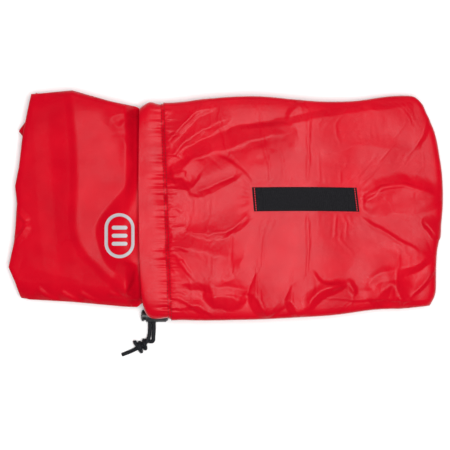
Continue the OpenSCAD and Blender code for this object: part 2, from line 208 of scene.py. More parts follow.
def steel_material():
    look = Look("spring_wire", (0.62, 0.62, 0.64), 0.3, metallic=1.0)
    drawn = look.noise(1500, 2)
    look.ramp(drawn, [(0.3, grey(0.22)), (0.7, grey(0.38))], "Roughness")
    look.bump(drawn, depth=0.00004, strength=0.4)
    return look.material


def ink_material():
    look = Look("silver_ink", (0.42, 0.42, 0.44), 0.5)
    flake = look.noise(1800, 3)
    look.ramp(flake, [(0.3, (0.37, 0.37, 0.39)), (0.7, (0.47, 0.47, 0.49))], "Base Color")
    look.bump(flake, depth=0.00005, strength=0.5)
    return look.material


def floor_material():
    return Look("studio_white", (0.93, 0.93, 0.93), 0.9, specular=0.1).material


# ---------- mesh helpers ----------

CURVE_STEPS = 24                       # between two given points of a curve
SHEATH_STRANDS = 8
SHEATH_PITCH = 5.2
CORD_SIDES = 28
CORD_STEP = 0.42
SHEATH_LOW, SHEATH_RELIEF = 0.91, 0.11                    # shares of the cord's radius
LOOP_SIDES = 14


def mesh_piece(name, verts, faces, material):
    """A smooth mesh object from points in millimetres."""
    mesh = bpy.data.meshes.new(name)
    mesh.from_pydata((np.asarray(verts) * MM).tolist(), [], [tuple(int(k) for k in f) for f in faces])
    mesh.update()
    mesh.materials.append(material)
    piece = bpy.data.objects.new(name, mesh)
    shade_smooth(piece)
    bpy.context.scene.collection.objects.link(piece)
    return piece


def shade_smooth(piece):
    piece.data.polygons.foreach_set("use_smooth", [True] * len(piece.data.polygons))


@contextlib.contextmanager
def open_mesh(piece):
    """A piece's mesh, open for changes with bmesh."""
    mesh = bmesh.new()
    mesh.from_mesh(piece.data)
    yield mesh
    mesh.to_mesh(piece.data)
    mesh.free()


def tidy_mesh(piece, distance=1e-6):
    """Welds what coincides, closes open ends and turns every face outwards."""
    with open_mesh(piece) as mesh:
        bmesh.ops.remove_doubles(mesh, verts=mesh.verts, dist=distance)
        bmesh.ops.holes_fill(mesh, edges=[e for e in mesh.edges if e.is_boundary], sides=0)
        bmesh.ops.recalc_face_normals(mesh, faces=mesh.faces)


def weld(piece, distance=1e-5):
    """Welds what coincides, and removes the faces that this leaves without area."""
    with open_mesh(piece) as mesh:
        bmesh.ops.remove_doubles(mesh, verts=mesh.verts, dist=distance)
        bmesh.ops.dissolve_degenerate(mesh, edges=mesh.edges, dist=distance)
    shade_smooth(piece)


def place_piece(piece, body, slot, *nodes):
    """Says which body a piece rides on and the CAD nodes it stands for; its material slot is not used."""
    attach(piece, body)
    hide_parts(*nodes)


def grid_faces(rows, cols, base=0):
    """The faces of a grid that is closed across."""
    i, j = np.meshgrid(np.arange(rows - 1), np.arange(cols), indexing="ij")
    k = (j + 1) % cols
    a, b = i * cols + j, i * cols + k
    c, d = (i + 1) * cols + k, (i + 1) * cols + j
    return np.stack([a, d, c, b], -1).reshape(-1, 4) + base


def tube_faces(rows, cols, base=0):
    """The faces of a grid that is closed across, with a cap at each end."""
    last = base + (rows - 1) * cols
    caps = [tuple(range(base + cols - 1, base - 1, -1)), tuple(range(last, last + cols))]
    return [tuple(f) for f in grid_faces(rows, cols, base)] + caps


def join_grids(grids, faces_of=grid_faces):
    """The points and faces of several grids in one mesh."""
    verts, faces, base = [], [], 0
    for grid in grids:
        rows, cols = grid.shape[:2]
        verts.append(grid.reshape(-1, 3))
        faces.extend(faces_of(rows, cols, base))
        base += rows * cols
    return np.concatenate(verts), faces


def curve_length(points):
    return float(np.linalg.norm(np.diff(points, axis=0), axis=1).sum())


def run_along(points):
    """How far along a line each of its points is."""
    return np.concatenate([[0], np.cumsum(np.linalg.norm(np.diff(points, axis=0), axis=1))])


def at_runs(want, run, points):
    """The places where a line, or anything given along it, has run some distances."""
    return np.stack([np.interp(want, run, points[:, k]) for k in range(points.shape[1])], -1)


def straight_curve(points, n):
    """n points, evenly spaced, along straight runs between the given points."""
    points = np.asarray(points, float)
    run = run_along(points)
    return at_runs(np.linspace(0, run[-1], n), run, points)


def smooth_curve(points, n):
    """n points, evenly spaced, along a Catmull-Rom curve through the given points."""
    p = np.asarray(points, float)
    ends = np.vstack([2 * p[0] - p[1], p, 2 * p[-1] - p[-2]])
    t = np.linspace(0, 1, CURVE_STEPS, endpoint=False)[:, None]
    fine = []
    for i in range(len(p) - 1):
        a, b, c, d = ends[i:i + 4]
        fine.append(0.5 * (2 * b + (c - a) * t + (2 * a - 5 * b + 4 * c - d) * t ** 2
                           + (3 * b - a - 3 * c + d) * t ** 3))
    return straight_curve(np.vstack(fine + [p[-1:]]), n)


def frames_along(path):
    """Two steady side vectors at each point of a path."""
    tangent = np.gradient(path, axis=0)
    tangent /= np.linalg.norm(tangent, axis=1)[:, None]
    side = np.zeros_like(path)
    side[0] = np.cross(tangent[0], [0, 0, 1])
    side[0] /= np.linalg.norm(side[0])
    for i in range(1, len(path)):
        s = side[i - 1] - tangent[i] * np.dot(side[i - 1], tangent[i])
        side[i] = s / np.linalg.norm(s)
    return side, np.cross(tangent, side)


def round_angles(count):
    return np.linspace(0, 2 * math.pi, count, endpoint=False)


def tube(path, side, up, radius, sides):
    """Points round a path; radius is one number, or one for each of them."""
    angle = round_angles(sides)
    ring = np.cos(angle)[None, :, None] * side[:, None] + np.sin(angle)[None, :, None] * up[:, None]
    return path[:, None] + np.asarray(radius)[..., None] * ring


def braided_tube(name, route, diameter, material):
    """A cord with a braided sheath, its ends sealed round; gives the piece and its centre line."""
    length = curve_length(smooth_curve(route, 400))
    n = int(length / CORD_STEP)
    path = smooth_curve(route, n)
    s = np.linspace(0, length, n)[:, None]
    turn = SHEATH_STRANDS / 2 * round_angles(CORD_SIDES)[None]
    twist = math.pi * s / SHEATH_PITCH * SHEATH_STRANDS / 4
    weave = np.maximum(np.abs(np.sin(turn + twist)), np.abs(np.sin(turn - twist)))
    radius = diameter / 2 * (SHEATH_LOW + SHEATH_RELIEF * weave)
    end = np.clip(np.minimum(s, length - s) / (diameter * 0.22), 0, 1)
    radius = radius * np.sqrt(np.clip(1 - (1 - end) ** 2, 0.02, 1))
    verts = tube(path, *frames_along(path), radius, CORD_SIDES).reshape(-1, 3)
    return mesh_piece(name, verts, tube_faces(n, CORD_SIDES), material), path


def lerp(a, b, t):
    return a + (b - a) * t


def smooth_step(value):
    value = np.clip(value, 0, 1)
    return value * value * (3 - 2 * value)


def bell(value, width):
    """1 at 0, falling to nearly 0 at twice the width."""
    return np.exp(-(value / width) ** 2)


def polyline_distance(x, y, line):
    """Distance, side and place along a polyline, for arrays of points."""
    best = np.full(x.shape, 1e9)
    side = np.zeros(x.shape)
    place = np.zeros(x.shape)
    total = curve_length(np.asarray(line, float))
    run = 0.0
    for (x0, y0), (x1, y1) in zip(line[:-1], line[1:]):
        dx, dy = x1 - x0, y1 - y0
        size = math.hypot(dx, dy)
        t = np.clip(((x - x0) * dx + (y - y0) * dy) / size ** 2, 0, 1)
        ox, oy = x - (x0 + t * dx), y - (y0 + t * dy)
        d = np.hypot(ox, oy)
        nearer = d < best
        best = np.where(nearer, d, best)
        side = np.where(nearer, np.sign(dx * oy - dy * ox), side)
        place = np.where(nearer, (run + t * size) / total, place)
        run += size
    return best, side, place


def rounded(across, square, drop):
    """A distance from a crest, with the crest rounded off."""
    return np.sqrt(across ** 2 + square) - drop


def crease(x, y, line, height, left, right, fade=0.2):
    """A fold with flat facets: it falls off over left and right, and fades at its ends."""
    d, side, place = polyline_distance(x, y, line)
    fall = np.clip(1 - rounded(d / np.where(side > 0, left, right), 0.006, 0.077), 0, 1)
    fall = fall * (1 - 0.5 * (1 - fall) ** 4) + 0.5 * (1 - fall) ** 4 * fall ** 2
    along = np.clip(np.minimum(place, 1 - place) / fade, 0, 1)
    return height * fall * along * (2 - along)


def facet(x, y, line, steep_width, back, slope, fade=0.35):
    """A fold with one steep facet, left (or, below 0, right) of its line, that narrows to its two ends."""
    d, side, place = polyline_distance(x, y, smooth_curve(line, 18).tolist())
    along = np.clip(np.minimum(place, 1 - place) / fade, 0, 1)
    along = along * (2 - along)
    steep = side * steep_width > 0
    wide = np.where(steep, abs(steep_width) * (0.4 + 0.6 * along), back)
    fall = np.clip(1 - rounded(d / wide, 0.004, 0.063), 0, 1)
    fall = np.where(steep, fall, fall * fall * (1.5 - 0.5 * fall))
    return slope * abs(steep_width) * along * fall


NOISE_CELLS = 96                       # before the noise repeats
NOISE_SHIFT = 40                       # keeps the cells' numbers above 0


def value_noise(x, y, size, seed):
    """Smooth noise from 0 to 1 with cells of a given size."""
    grid = np.random.default_rng(seed).random((NOISE_CELLS + 1, NOISE_CELLS + 1))
    u, v = x / size + NOISE_SHIFT, y / size + NOISE_SHIFT
    i, j = np.floor(u).astype(int) % NOISE_CELLS, np.floor(v).astype(int) % NOISE_CELLS
    f, g = u - np.floor(u), v - np.floor(v)
    f, g = f * f * (3 - 2 * f), g * g * (3 - 2 * g)
    top = grid[i, j] * (1 - f) + grid[i + 1, j] * f
    low = grid[i, j + 1] * (1 - f) + grid[i + 1, j + 1] * f
    return top * (1 - g) + low * g


add_camera()
NYLON = nylon_material("nylon_sack", tone=1.0, shine=0.105)
NYLON_SKIRT = nylon_material("nylon_skirt", tone=0.98, shine=0.06)
THREAD = thread_material("thread_dark_red", (0.26, 0.002, 0.008))
THREAD_BRIGHT = thread_material("thread_bright_red", (0.72, 0.030, 0.045))
WEBBING = webbing_material()
CORD = cord_material()
BARREL = plastic_material("lock_grey", (0.026, 0.027, 0.029))
BUTTON = plastic_material("lock_black", (0.009, 0.009, 0.010))
STEEL = steel_material()
INK = ink_material()


# ---------- the drawcord's two tails ----------

CORD_D = 4.0
TAIL_LONG = [
    (-80, -103, 6.8), (-80, -112, 6.8), (-80, -122, 6.8), (-80, -130, 6.8), (-80.5, -135.5, 6.7),
    (-81.9, -140, 6.6), (-84.3, -143.8, 6.5), (-87.5, -146.6, 6.5), (-91.2, -148.6, 6.4),
    (-95, -150.6, 5.6), (-99, -152.6, 4.2), (-103, -154.3, 2.9), (-110, -157, 2.1)
]
TAIL_SHORT_IN = [
    (-75.8, -103, 6.8), (-75.8, -112, 6.8), (-75.8, -122, 6.8), (-75.8, -130, 6.8), (-76.2, -136.5, 6.4),
    (-77.4, -142.5, 5.6)
]
TAIL_SHORT_OUT = [(-95.2, -144.4, 8.6), (-96, -141.4, 8.2)]
KNOT_AT = (-87.6, -146.9, 6.5)         # middle of the knot, on the long tail
KNOT_ALONG = (-0.88, -0.47, 0.0)
KNOT_RADIUS = 4.25                     # the short tail's centre line wraps the long tail
KNOT_TURNS = 1.5
KNOT_SPAN = (-4.2, 4.4)
KNOT_STEPS = 24


def knot_wraps():
    """The short tail's turns round the long one."""
    along = np.array(KNOT_ALONG)
    out = np.array([along[1], -along[0], 0])
    points = []
    for f in np.arange(KNOT_STEPS + 1) / KNOT_STEPS:
        angle = 2 * math.pi * (KNOT_TURNS * f) - 0.5 * (1 - f)
        around = math.cos(angle) * out + math.sin(angle) * np.array([0, 0, 1.0])
        points.append(tuple(np.array(KNOT_AT) + along * lerp(*KNOT_SPAN, f) + around * KNOT_RADIUS))
    return points


def add_cords():
    for name, route in (("cord_tail_long", TAIL_LONG),
                        ("cord_tail_short", TAIL_SHORT_IN + knot_wraps() + TAIL_SHORT_OUT)):
        piece, path = braided_tube(name, route, CORD_D, CORD)
        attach(piece, "sack")
    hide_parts("tail_long")
    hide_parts("tail_short", "tail_knot")


add_cords()


# ---------- the stow sack's cloth ----------

FAR_SIDE = [(-90, 102), (-86, 105), (-79, 108.5), (-69, 107.5), (-60, 107.5), (-20, 112), (30, 115),
            (70, 112), (100, 109.5), (134, 110), (170, 115), (193, 116), (201, 113), (208, 106)]
NEAR_SIDE = [(-85.5, -104), (-84.5, -110), (-81, -116), (-74, -118.6), (-58, -119), (-22, -120), (49, -118),
             (99, -115.5), (147, -110), (181, -107.5), (214, -104)]
MOUTH_LINE = [(-85.5, -104), (-89, -80), (-91, 0), (-91, 70), (-90, 102)]
END_LINE = [(214, -104), (220, -90), (221, -66), (222, -48), (224, -36), (227, -12), (228, 10), (226, 44),
            (219, 76), (208, 106)]
STITCH_LINE = ((-58, -118), (-66, 107))    # near and far end of the channel's stitching


def coons(lines, s, t, curve=smooth_curve):
    """A plan inside four lines (start, end, near, far): s runs from start to end, t from near to far."""
    at = np.linspace(0, 1, 400)
    start, end, near, far = (curve(line, len(at)) for line in lines)
    out = []
    for k in range(2):
        along = lerp(np.interp(s, at, near[:, k]), np.interp(s, at, far[:, k]), t)
        across = lerp(np.interp(t, at, start[:, k]), np.interp(t, at, end[:, k]), s)
        corner = lerp(lerp(near[0, k], near[-1, k], s), lerp(far[0, k], far[-1, k], s), t)
        out.append(along + across - corner)
    return out


SACK_CREST = [(-92, 43.5), (-60, 44.4), (60, 44.6), (95, 44.2), (137, 37.6), (170, 34), (205, 31), (230, 29)]
SACK_WAIST = [(-92, 20), (60, 19), (150, 12), (230, 8)]     # height of the silhouette's edge


HALF_W, HALF_H = 112.0, 24.0
# How square the sack's section is: at its mouth, what is added further in, and by what share of its length
SQUARE, ADDED_SQUARE, SQUARE_BY = 5.0, 6.0, 0.25
CLOSE_FROM, CLOSE_SPAN, CLOSE_POWER = 0.90, 0.10, 7       # where the top rounds over to the closed end
UNDER_Z = 0.5
MIDDLE_Y = -3


def height_at(points, x):
    p = smooth_curve(points, 200)
    return np.interp(x, p[:, 0], p[:, 1])


def section(power, f):
    """A quarter of the sack's section, evenly spaced from its side (f = 0) to its crest (f = 1)."""
    a = np.linspace(0, math.pi / 2, 3000)
    out, over = np.cos(a) ** (2 / power), np.sin(a) ** (2 / power)
    run = np.concatenate([[0], np.cumsum(np.hypot(HALF_W * np.diff(out), HALF_H * np.diff(over)))])
    want = f * run[-1]
    return np.interp(want, run, out), np.interp(want, run, over)


def sack_point(s, theta, inset=0.0):
    """The sack's smooth shape: theta is 0 at the near side, pi at the far side, over the top."""
    f = 1 - np.abs(1 - 2 * ((theta / math.pi) % 1))
    out, over = np.empty_like(s), np.empty_like(s)
    for k in range(len(s)):
        out[k], over[k] = section(SQUARE + ADDED_SQUARE * min(1, s[k, 0] / SQUARE_BY), f[k])
    across = (theta / math.pi) % 2
    t = 0.5 - 0.5 * np.where((across < 0.5) | (across > 1.5), out, -out)
    x, y = coons((MOUTH_LINE, END_LINE, NEAR_SIDE, FAR_SIDE), s, t)
    close = np.clip((s - CLOSE_FROM) / CLOSE_SPAN, 0, 1)
    over = over * (1 - close ** CLOSE_POWER) ** (1 / CLOSE_POWER)
    crest = height_at(SACK_CREST, x)
    waist = height_at(SACK_WAIST, x)
    z = np.where(across <= 1, waist + (crest - waist - inset) * over,
                 np.maximum(UNDER_Z + inset, waist * (1 - 1.25 * over)))
    y = y - np.clip((y - MIDDLE_Y) / 100, -1, 1) * inset
    x = x - inset * np.clip((s - 0.8) / 0.2, 0, 1)
    return x, y, z


def sack_grid(rows, top_cols, low_cols, inset=0.0):
    """Each row's share of the sack's length, and the points; rows are closer together at the closed end."""
    end_rows = rows // 6
    s = np.concatenate([
        np.linspace(0, CLOSE_FROM, rows - end_rows, endpoint=False),
        CLOSE_FROM + CLOSE_SPAN * np.sin(np.linspace(0, math.pi / 2, end_rows))])
    theta = np.concatenate([np.linspace(0, math.pi, top_cols, endpoint=False),
                            np.linspace(math.pi, 2 * math.pi, low_cols, endpoint=False)])
    ss, tt = np.meshgrid(s, theta, indexing="ij")
    return ss, np.stack(sack_point(ss, tt, inset), -1)


# Folds on the top face of the sack: the line of the crest; how wide the steep facet beside it is, left of
# the line or (below 0) right of it; how far the other side takes to fall; and the steep facet's slope
SACK_FOLDS = [
    # the long fold along the far side, and the folds that fan out from the far end of the stitching
    ([(2, 76), (33, 80), (89, 89), (130, 96), (172, 102), (196, 106)], 8.0, 40, 0.33),
    ([(62, 90), (68, 98), (82, 108)], 5, 12, 0.3),
    ([(-64, 58), (-52, 78), (-30, 97), (-10, 104)], -6, 16, 0.34),
    ([(-62, 42), (-42, 66), (-14, 84), (6, 92)], -7, 18, 0.32),
    ([(-60, 34), (-31, 47), (5, 61), (41, 71), (74, 79)], 17, 34, 0.37),
    ([(-62, 26), (-46, 29), (-33, 21)], -12, 22, 0.3),
    ([(-40, 12), (-15, 20.5), (6, 30.5), (18, 36)], -7, 15, 0.3),
    # round the strap's near end
    ([(30, -9), (12, -19), (-4, -27.5), (-20, -30), (-42, -26)], 6, 22, 0.3),
    ([(28, 25), (21, 37), (8, 48), (-8, 54)], 4, 18, 0.14),
    # the near side, from the mouth to the middle
    ([(-64, -42), (-26, -48), (16, -60)], -30, 30, 0.16),
    ([(-50, -52), (-43, -62), (-34, -76)], 3, 7, 0.2),
    ([(-60, -81), (-32, -80), (-12, -83), (16, -87), (33, -90)], -7.5, 30, 0.36),
    ([(22, -90), (34, -97), (45, -116)], -12, 34, 0.34),
    ([(-57, -95), (-40, -101), (-22, -112)], -4, 12, 0.3),
    ([(-24, -92), (-4, -94), (20, -101)], -13, 20, 0.3),
    ([(-52, -109), (-30, -104), (-10, -116)], -3.5, 8, 0.3),
    ([(61, -97), (70, -103), (75, -117)], -8, 26, 0.34),
    # the near side, towards the closed end
    ([(89, -66), (96, -79), (110, -83), (128, -81)], 4.5, 12, 0.34),
    ([(86, -111), (89, -99), (97, -90), (108, -85.5), (128, -81)], -8.5, 9, 0.36),
    ([(126, -75), (131, -83), (138, -92)], 5, 7, 0.34),
    ([(150, -89), (153, -76), (167, -69), (188.5, -64), (217, -52)], -9, 28, 0.38),
    ([(150, -101), (171, -82), (180, -92), (184, -108)], -15, 20, 0.36),
    ([(219, -65), (206, -82), (192, -94)], 4, 10, 0.4),
    ([(96, -96), (150, -97.5), (218, -98.5)], -1.6, 7, 0.5),
    # the closed end
    ([(205, -15), (215, -25), (224, -37)], -5, 13, 0.42),
    ([(139, -2), (152, 9), (165, 19), (190, 20), (226, 8)], -26, 14, 0.15),
    ([(138, -11), (171, -30), (203, -50)], 4, 14, 0.2),
    ([(196, 56), (206, 76), (210, 98)], -5, 11, 0.2),
    ([(100, 52), (140, 62), (194, 58)], -16, 18, 0.08),
]


def sack_folds(x, y):
    """The height that the folds add, with every line made a little uneven."""
    bent = [place + 3.0 * (value_noise(x, y, 15, seed) - 0.5) + 1.4 * (value_noise(x, y, 6, seed + 1) - 0.5)
            for place, seed in ((x, 41), (y, 43))]
    return sum(facet(*bent, *fold) for fold in SACK_FOLDS)


STITCH_CREASES = (72, 52, 32, -4, -24, -44, -60, -90)     # places of the short folds behind the stitching
STRAP_BOX = (27.4, 138.5, -5.6, 19.4)
STRAP_FALL_X, STRAP_Z, STRAP_FALL = 95.0, 45.0, 0.165     # it is level up to an X, and slopes down after it
STRAP_RAYS_Y = 7.5


def strap_under(x):
    """The height of the strap's underside."""
    return STRAP_Z - STRAP_FALL * np.maximum(x - STRAP_FALL_X, 0)


def top_weight(z):
    """1 on the upper face of a soft piece, 0 under it."""
    return np.clip((z - 6) / 10, 0, 1)


def away_from_strap(x, y, reach=7.0):
    """0 under the strap, growing to 1 at some reach from it."""
    x0, x1, y0, y1 = STRAP_BOX
    d = np.hypot(np.maximum(np.maximum(x0 - x, x - x1), 0), np.maximum(np.maximum(y0 - y, y - y1), 0))
    return np.clip(d / reach, 0, 1)


def stitch_x(y):
    """Where the middle of the channel's stitching is."""
    (x0, y0), (x1, y1) = STITCH_LINE
    return x0 + (x1 - x0) * (y - y0) / (y1 - y0)


def normals_of(grid):
    """Outward normals of a grid that is closed across."""
    along = np.gradient(grid, axis=0)
    across = np.roll(grid, -1, axis=1) - np.roll(grid, 1, axis=1)
    n = np.cross(along, across)
    n = n / np.maximum(np.linalg.norm(n, axis=-1, keepdims=True), 1e-6)
    return n if np.mean(n[:, grid.shape[1] // 3, 2]) > 0 else -n


SIM_SCALE = 10.0        # the cloth settles as a piece ten times as large
SIM_FRAMES = 34
CLOTH = {
    "quality": 6, "mass": 0.25, "tension_stiffness": 40, "compression_stiffness": 40, "shear_stiffness": 20,
    "bending_stiffness": 0.4, "tension_damping": 12, "compression_damping": 12, "shear_damping": 12,
    "bending_damping": 1, "air_damping": 4, "vertex_group_mass": "pin", "vertex_group_shrink": "shrink",
    "shrink_min": -0.045, "shrink_max": 0.06,
}


def add_weights(piece, name, weights):
    """A vertex group, its weights rounded to hundredths."""
    group = piece.vertex_groups.new(name=name)
    levels = np.round(weights, 2)
    for level in np.unique(levels):
        if level > 0:
            group.add(np.flatnonzero(levels == level).tolist(), float(level), "REPLACE")


def simulate(grid, pins, slack, inside):
    """Lets a grid of cloth settle over another grid; gives the settled points in millimetres."""
    scene = bpy.context.scene
    piece, solid = (mesh_piece(name, g.reshape(-1, 3) * SIM_SCALE, grid_faces(*g.shape[:2]), NYLON)
                    for name, g in (("sack_sim", grid), ("sack_sim_proxy", inside)))
    add_weights(piece, "pin", pins.ravel())
    add_weights(piece, "shrink", slack.ravel())
    solid.modifiers.new("collide", "COLLISION")
    solid.collision.thickness_outer = 0.006
    solid.collision.cloth_friction = 12
    cloth = piece.modifiers.new("cloth", "CLOTH")
    for name, value in CLOTH.items():
        setattr(cloth.settings, name, value)
    cloth.collision_settings.distance_min = 0.008
    cloth.collision_settings.collision_quality = 3
    cloth.point_cache.frame_start = 1
    cloth.point_cache.frame_end = SIM_FRAMES
    for f in range(1, SIM_FRAMES + 1):
        scene.frame_set(f)
    shape = piece.evaluated_get(bpy.context.evaluated_depsgraph_get()).to_mesh()
    out = np.empty(len(shape.vertices) * 3)
    shape.vertices.foreach_get("co", out)
    for obj in (piece, solid):
        bpy.data.objects.remove(obj, do_unlink=True)
    scene.frame_set(1)
    return (out.reshape(-1, 3) / MM / SIM_SCALE).reshape(grid.shape)


def capped(before, after, limit):
    """Keeps each point within a limit of where it started."""
    move = after - before
    size = np.linalg.norm(move, axis=-1, keepdims=True)
    return before + move * np.minimum(1, limit / np.maximum(size, 1e-9))


SACK_ROWS = 176
TOP_COLS, LOW_COLS = 136, 44           # over the sack's upper face, and under it
INSIDE_GRID = (60, 60, 16)             # the contents, as the cloth settles over them
INSIDE_INSET = 1.2
BEFORE_SIM, AFTER_SIM = 0.5, 0.75      # shares of the folds' height laid before and after the simulation
SETTLE_CAP = 3.0
SETTLE_SHARE = 0.4


def settle_sack(ss, grid, x, y, z):
    """Simulates the sack's cloth: held at its sides, ends and strap, slack elsewhere."""
    behind = np.clip((x - stitch_x(y) - 1) / 5, 0, 1)
    holds = [
        np.clip(1.2 - (z - 1.5) / 3, 0, 1),                      # what rests on the floor
        1 - np.clip((z - 10) / 6, 0, 1),                         # the sides
        1 - behind,                                              # the channel
        np.clip((ss - 0.955) / 0.03, 0, 1),                      # the closed end
        0.85 * (1 - away_from_strap(x, y, 2.0)) * (z > 10),      # under the strap
    ]
    slack = np.where(away_from_strap(x, y, 1.0) < 1, 0.6, 0.33)
    slack = np.where((z > 15) & (ss < 0.97), slack, 0.43) * behind
    _, inside = sack_grid(*INSIDE_GRID, inset=INSIDE_INSET)
    settled = capped(grid, simulate(grid, np.maximum.reduce(holds), slack, inside), SETTLE_CAP)
    on_top = smooth_step((z - height_at(SACK_CREST, x) + 5) / 4) * smooth_step((0.95 - ss) / 0.05)
    return lerp(grid, settled, (SETTLE_SHARE * on_top)[..., None])


def build_sack():
    """The sack's shape with the start of its folds, settled by the simulation."""
    ss, grid = sack_grid(SACK_ROWS, TOP_COLS, LOW_COLS)
    normal = normals_of(grid)
    x, y, z = grid[..., 0], grid[..., 1], grid[..., 2]
    free = top_weight(z) * away_from_strap(x, y)
    grid = grid + normal * (sack_folds(x, y) * free * BEFORE_SIM)[..., None]
    grid = grid + normal * ((value_noise(x, y * 1.6, 40, 3) - 0.5) * 1.6 * free)[..., None]
    return settle_sack(ss, grid, x, y, z)


def refine(grid):
    """Doubles a grid's rows and its closed columns with smooth in-between points."""
    rows = np.empty((grid.shape[0] * 2 - 1,) + grid.shape[1:])
    rows[::2] = grid
    pad = np.concatenate([grid[:1], grid, grid[-1:]])
    rows[1::2] = (-pad[:-3] + 9 * pad[1:-2] + 9 * pad[2:-1] - pad[3:]) / 16
    cols = np.empty((rows.shape[0], rows.shape[1] * 2) + rows.shape[2:])
    cols[:, ::2] = rows
    a, b, c, d = np.roll(rows, 1, 1), rows, np.roll(rows, -1, 1), np.roll(rows, -2, 1)
    cols[:, 1::2] = (-a + 9 * b + 9 * c - d) / 16
    return cols


def ridged(values):
    """Turns noise from 0 to 1 into sharp ridges from 0 to 1."""
    return 1 - np.abs(2 * values - 1)


# The gathers: the spacing of wide and narrow ones, then their heights and reach on both sides of the stitches
WIDE_SPACING, NARROW_SPACING = 8.5, 3.4
BEFORE_WIDE, BEFORE_NARROW, BEFORE_REACH = -3.0, -1.2, 10.5
BEHIND_WIDE, BEHIND_NARROW, BEHIND_REACH = 1.8, 1.7, 9.0
GROOVE, GROOVE_WIDTH = 0.35, 1.6
CROWN, CROWN_AT, CROWN_WIDTH = 0.15, 12, 6
LIP_WAVE, LIP_SPACING, LIP_REACH = 0.7, 14, 6


def channel_relief(x, y, z):
    """The gathers on both sides of the channel's stitching, its groove, and an uneven lip."""
    gap = x - stitch_x(y)
    wide = ridged(value_noise(y, 0 * y + 3, WIDE_SPACING, 11))
    narrow = ridged(value_noise(y, 0 * y + 9, NARROW_SPACING, 12))
    before = np.clip(-gap / 2, 0, 1) * bell(gap + 1, BEFORE_REACH)
    behind = np.clip(gap / 2, 0, 1) * bell(gap, BEHIND_REACH)
    relief = before * (BEFORE_WIDE * (wide - 0.35) + BEFORE_NARROW * (narrow - 0.5))
    relief = relief + behind * (BEHIND_WIDE * (wide - 0.5) + BEHIND_NARROW * (narrow - 0.5))
    relief = relief - GROOVE * bell(gap, GROOVE_WIDTH) + CROWN * bell(gap + CROWN_AT, CROWN_WIDTH)
    lip_x, lip_y = zip(*MOUTH_LINE)
    from_lip = x - np.interp(y, lip_y, lip_x)
    wave = value_noise(y, 0 * y + 5, LIP_SPACING, 13) - 0.5
    relief = relief + LIP_WAVE * wave * bell(from_lip, LIP_REACH)
    return relief * np.clip(z / 4, 0, 1)


GATHER_HEIGHT, GATHER_RAYS, GATHER_REACH, GATHER_WIDTH = 0.35, 17, 13, 20


def strap_gathers(x, y):
    """Short gathers where the strap's two ends are sewn down."""
    lift = 0
    over = y - STRAP_RAYS_Y
    for end, way in ((STRAP_BOX[0], -1), (STRAP_BOX[1], 1)):
        gone = way * (x - end)
        rays = np.cos(np.arctan2(over, gone + 14) * GATHER_RAYS) * (gone > 0) * np.clip(gone / 3, 0, 1)
        lift = lift + GATHER_HEIGHT * rays * bell(gone, GATHER_REACH) * bell(over, GATHER_WIDTH + gone)
    return lift


def tuck_at_lock(grid):
    """The cloth turns in above the cord lock, which sits under the channel's near corner."""
    x, y, z = grid[..., 0], grid[..., 1], grid[..., 2]
    reach = np.clip((-50 - x) / 12, 0, 1) * (y < -60)
    grid[..., 1] = lerp(y, np.maximum(y, -107.6), reach * smooth_step((17.5 - z) / 5))
    return grid


def finish_sack(grid):
    """Adds what is finer than the simulation, and flattens the cloth under the strap."""
    grid = refine(grid)
    x, y, z = grid[..., 0], grid[..., 1], grid[..., 2]
    up = top_weight(z)
    lift = sack_folds(x, y) * up * away_from_strap(x, y) * AFTER_SIM
    for k, place in enumerate(STITCH_CREASES):
        start, way = stitch_x(place) + 2, (-1) ** k
        line = [(start, place), (start + 9, place + 1.5), (start + 15 + 3 * (k % 3), place + 3.5 * way)]
        lift = lift + facet(x, y, line, 2.5 * way, 7, 0.35) * up
    lift = lift + channel_relief(x, y, z) + strap_gathers(x, y)
    grid = grid + normals_of(grid) * lift[..., None]
    x, y, z = grid[..., 0], grid[..., 1], grid[..., 2]
    under_strap = smooth_step(1 - away_from_strap(x, y, 9.0)) * (z > 12)
    grid[..., 2] = np.maximum(lerp(z, strap_under(x) - 0.1, under_strap), 0.4)
    return tuck_at_lock(grid)


HEM_ROWS = 16
HEM_DEPTHS = (24.0, 0.6)               # from the mouth: where the inner ply starts and ends
HEM_INSET = 5.4
HEM_MIDDLE, HEM_HALF = (-2.0, 22.0), (106.0, 21.5)     # the section that it shrinks towards, in Y and Z


def inner_hem(grid):
    """The channel's inner ply: from the stitching on the inside back out to the lip."""
    rows = []
    mouth = grid[:60]
    for f in np.arange(HEM_ROWS) / (HEM_ROWS - 1):
        row = np.array([
            [np.interp(lerp(*HEM_DEPTHS, f), column[:, 0] - column[0, 0], column[:, k]) for k in range(3)]
            for column in np.swapaxes(mouth, 0, 1)])
        inset = max(HEM_INSET * math.sin(math.pi * min(1, 1 - f + 0.02) ** 0.45) ** 0.6, 0.5)
        for k, middle, half in zip((1, 2), HEM_MIDDLE, HEM_HALF):
            row[:, k] = middle + (row[:, k] - middle) * (1 - inset / half)
        rows.append(row)
    return np.array(rows)


CLOSED_END_X = 0.19                    # the closed end's points, past this, are welded in metres
END_WELD = 0.00012
PLY = 0.0004


def add_sack():
    grid = finish_sack(build_sack())
    whole = np.concatenate([inner_hem(grid), grid])
    piece = mesh_piece("sack_cloth", whole.reshape(-1, 3), grid_faces(*whole.shape[:2]), NYLON)
    with open_mesh(piece) as mesh:
        end = [v for v in mesh.verts if v.co.x > CLOSED_END_X]
        bmesh.ops.remove_doubles(mesh, verts=end, dist=END_WELD)
        bmesh.ops.recalc_face_normals(mesh, faces=mesh.faces)
    shade_smooth(piece)
    solid = piece.modifiers.new("ply", "SOLIDIFY")
    solid.thickness = PLY
    solid.offset = -1
    place_piece(piece, "sack", "coated_nylon", "sack_top_panel", "sack_bottom_panel", "drawcord_channel")
    return grid


sack_surface = add_sack()


# ---------- the folded skirt ----------

